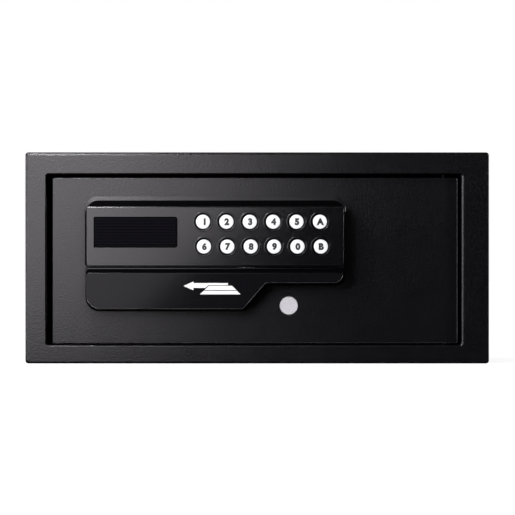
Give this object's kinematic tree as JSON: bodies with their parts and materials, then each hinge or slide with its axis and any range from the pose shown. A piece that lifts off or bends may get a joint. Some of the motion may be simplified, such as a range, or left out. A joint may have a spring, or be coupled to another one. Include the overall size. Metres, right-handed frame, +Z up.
{
  "type": "hotel safe",
  "caption": "Low steel room safe: flush hinged door with keypad and card reader, motor-driven locking bolts, key override behind a round cap, anchor holes in floor and rear.",
  "frame": {"origin": "centre of the cabinet's flat underside", "axes": "+X along the width to the hinge side, +Y from the door to the rear, +Z up; the door faces -Y"},
  "size_m": [0.45, 0.402, 0.205],
  "materials": {
    "powder_coat": "satin black powder coat with a fine texture",
    "zinc_steel": "zinc plated steel",
    "bright_steel": "bright steel",
    "black_steel": "blackened steel",
    "brass": "bare brass",
    "felt": "dark grey felt",
    "rubber": "black rubber",
    "inner_plastic": "black moulded plastic",
    "cell_sleeve": "plain printed sleeve",
    "circuit_board": "green solder mask",
    "housing_plastic": "satin black moulded plastic",
    "fascia_plastic": "fine-textured black plastic",
    "smoked_window": "smoked gloss window",
    "key_plastic": "white moulded plastic",
    "cap_plastic": "pale grey moulded plastic",
    "gear_plastic": "natural nylon"
  },
  "bodies": {
    "cabinet": {"cabinet_shell": "powder_coat", "front_frame": "powder_coat", "rear_panel": "powder_coat", "floor_mat": "felt", "bolt_keeper": "powder_coat", "hinge_bracket_upper": "powder_coat", "hinge_bracket_lower": "powder_coat", "hinge_pin_upper": "black_steel", "hinge_pin_lower": "black_steel", "anchor_plug_rear_left": "rubber", "anchor_plug_rear_right": "rubber", "anchor_plug_floor_left": "rubber", "anchor_plug_floor_right": "rubber"},
    "door": {"door_plate": "powder_coat", "door_pan": "powder_coat", "door_inner_cover": "powder_coat", "hinge_knuckle_upper": "powder_coat", "hinge_knuckle_lower": "powder_coat", "motor_bracket": "zinc_steel", "gearbox": "inner_plastic", "motor_can": "bright_steel", "bolt_guide": "zinc_steel", "lock_barrel": "zinc_steel", "lock_nut": "bright_steel", "battery_tray": "inner_plastic", "battery_cell_1": "cell_sleeve", "battery_cell_2": "cell_sleeve", "battery_cell_3": "cell_sleeve", "battery_cell_4": "cell_sleeve", "control_board": "circuit_board", "unit_gasket": "rubber", "keypad_housing": "housing_plastic", "keypad_fascia": "fascia_plastic", "display_window": "smoked_window", "display_module": "inner_plastic", "key_mat": "rubber", "keypad_board": "circuit_board", "reader_housing": "housing_plastic", "card_guide": "inner_plastic", "magnetic_head": "bright_steel"},
    "bolt_work": {"bolt_plate": "zinc_steel", "bolt_upper": "bright_steel", "bolt_lower": "bright_steel"},
    "drive_pinion": {"drive_pinion": "gear_plastic"},
    "override_lock": {"lock_plug": "brass", "lock_cam": "zinc_steel"},
    "key_cover": {"key_cover": "cap_plastic"},
    "battery_cover": {"battery_cover": "inner_plastic"},
    "key_1": {"key_1": "key_plastic"},
    "key_2": {"key_2": "key_plastic"},
    "key_3": {"key_3": "key_plastic"},
    "key_4": {"key_4": "key_plastic"},
    "key_5": {"key_5": "key_plastic"},
    "key_a": {"key_a": "key_plastic"},
    "key_6": {"key_6": "key_plastic"},
    "key_7": {"key_7": "key_plastic"},
    "key_8": {"key_8": "key_plastic"},
    "key_9": {"key_9": "key_plastic"},
    "key_0": {"key_0": "key_plastic"},
    "key_b": {"key_b": "key_plastic"}
  },
  "joints": [
    {"name": "door_hinge", "type": "hinge", "parent": "cabinet", "child": "door", "pos_m": [0.1819, -0.175, 0.10015], "axis": [0, 0, 1], "range_deg": [0, 100]},
    {"name": "bolt_slide", "type": "slide", "parent": "door", "child": "bolt_work", "axis": [-1, 0, 0], "range_m": [0, 0.018]},
    {"name": "pinion_turn", "type": "hinge", "parent": "door", "child": "drive_pinion", "pos_m": [-0.05995, -0.15, 0.10565], "axis": [0, 1, 0], "range_deg": [0, 140]},
    {"name": "override_turn", "type": "hinge", "parent": "door", "child": "override_lock", "pos_m": [0.03075, -0.165, 0.05615], "axis": [0, 1, 0], "range_deg": [-90, 0]},
    {"name": "key_cover_pull", "type": "slide", "parent": "door", "child": "key_cover", "axis": [0, -1, 0], "range_m": [0, 0.03]},
    {"name": "battery_cover_pull", "type": "slide", "parent": "door", "child": "battery_cover", "axis": [0, 1, 0], "range_m": [0, 0.04]},
    {"name": "key_1_press", "type": "slide", "parent": "door", "child": "key_1", "axis": [0, 1, 0], "range_m": [0, 0.0015], "stiffness_N_per_m": 300},
    {"name": "key_2_press", "type": "slide", "parent": "door", "child": "key_2", "axis": [0, 1, 0], "range_m": [0, 0.0015], "stiffness_N_per_m": 300},
    {"name": "key_3_press", "type": "slide", "parent": "door", "child": "key_3", "axis": [0, 1, 0], "range_m": [0, 0.0015], "stiffness_N_per_m": 300},
    {"name": "key_4_press", "type": "slide", "parent": "door", "child": "key_4", "axis": [0, 1, 0], "range_m": [0, 0.0015], "stiffness_N_per_m": 300},
    {"name": "key_5_press", "type": "slide", "parent": "door", "child": "key_5", "axis": [0, 1, 0], "range_m": [0, 0.0015], "stiffness_N_per_m": 300},
    {"name": "key_a_press", "type": "slide", "parent": "door", "child": "key_a", "axis": [0, 1, 0], "range_m": [0, 0.0015], "stiffness_N_per_m": 300},
    {"name": "key_6_press", "type": "slide", "parent": "door", "child": "key_6", "axis": [0, 1, 0], "range_m": [0, 0.0015], "stiffness_N_per_m": 300},
    {"name": "key_7_press", "type": "slide", "parent": "door", "child": "key_7", "axis": [0, 1, 0], "range_m": [0, 0.0015], "stiffness_N_per_m": 300},
    {"name": "key_8_press", "type": "slide", "parent": "door", "child": "key_8", "axis": [0, 1, 0], "range_m": [0, 0.0015], "stiffness_N_per_m": 300},
    {"name": "key_9_press", "type": "slide", "parent": "door", "child": "key_9", "axis": [0, 1, 0], "range_m": [0, 0.0015], "stiffness_N_per_m": 300},
    {"name": "key_0_press", "type": "slide", "parent": "door", "child": "key_0", "axis": [0, 1, 0], "range_m": [0, 0.0015], "stiffness_N_per_m": 300},
    {"name": "key_b_press", "type": "slide", "parent": "door", "child": "key_b", "axis": [0, 1, 0], "range_m": [0, 0.0015], "stiffness_N_per_m": 300}
  ],
  "couplings": [
    {"joint": "pinion_turn", "follows": "bolt_slide", "rad_per_m": 133.33}
  ]
}
